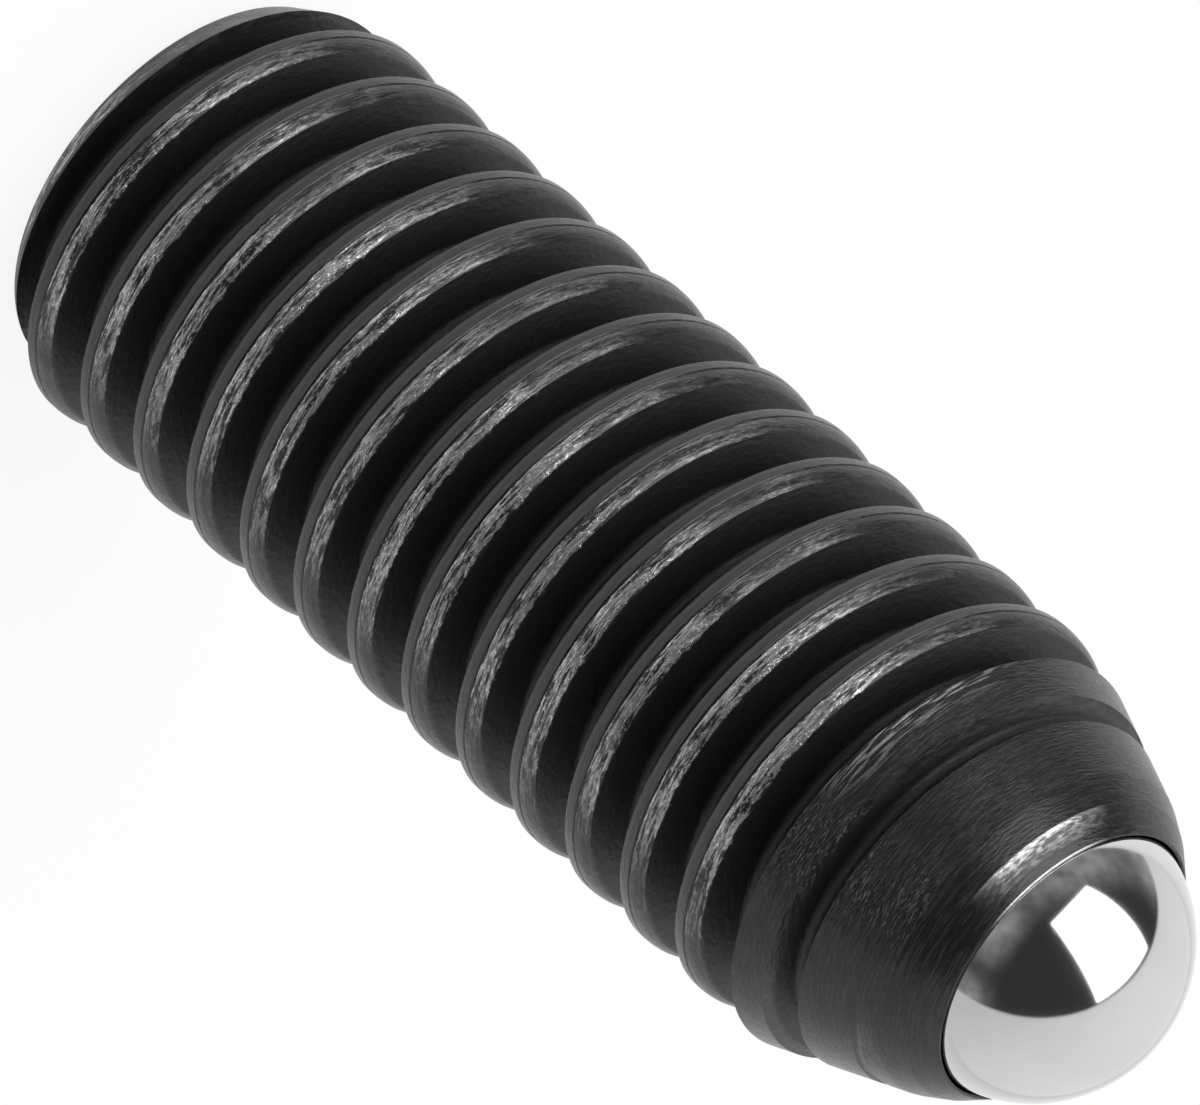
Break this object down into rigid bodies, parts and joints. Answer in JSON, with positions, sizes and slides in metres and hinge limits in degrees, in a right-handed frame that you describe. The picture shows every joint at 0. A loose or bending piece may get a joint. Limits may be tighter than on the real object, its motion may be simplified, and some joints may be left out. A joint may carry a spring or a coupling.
{
  "type": "spring plunger",
  "caption": "Ball-nose spring plunger: a headless threaded steel body with a cone nose and a rolled lip that holds a spring-loaded ball; hexagon socket in the rear end.",
  "frame": {"origin": "centre of the flat rear end, in the plane of the end face", "axes": "+Z along the axis from the rear end to the ball; +X and +Y across the body, turned so that the middle of a thread groove crosses the +X side 0.33 mm above a whole number of pitches"},
  "size_m": [0.006, 0.006, 0.0176],
  "materials": {
    "black_steel": "black oxide, satin, worn to bare metal on the crests and the rim",
    "spring_steel": "drawn wire, satin",
    "polished_steel": "ground and polished bearing steel"
  },
  "bodies": {
    "housing": {"threaded_body": "black_steel", "spring": "spring_steel"},
    "ball": {"ball": "polished_steel"}
  },
  "joints": [
    {"name": "ball_press", "type": "slide", "parent": "housing", "child": "ball", "axis": [0, 0, -1], "range_m": [0, 0.00136], "stiffness_N_per_m": 6990, "springref_m": -0.00147, "deforming": ["spring"]}
  ]
}
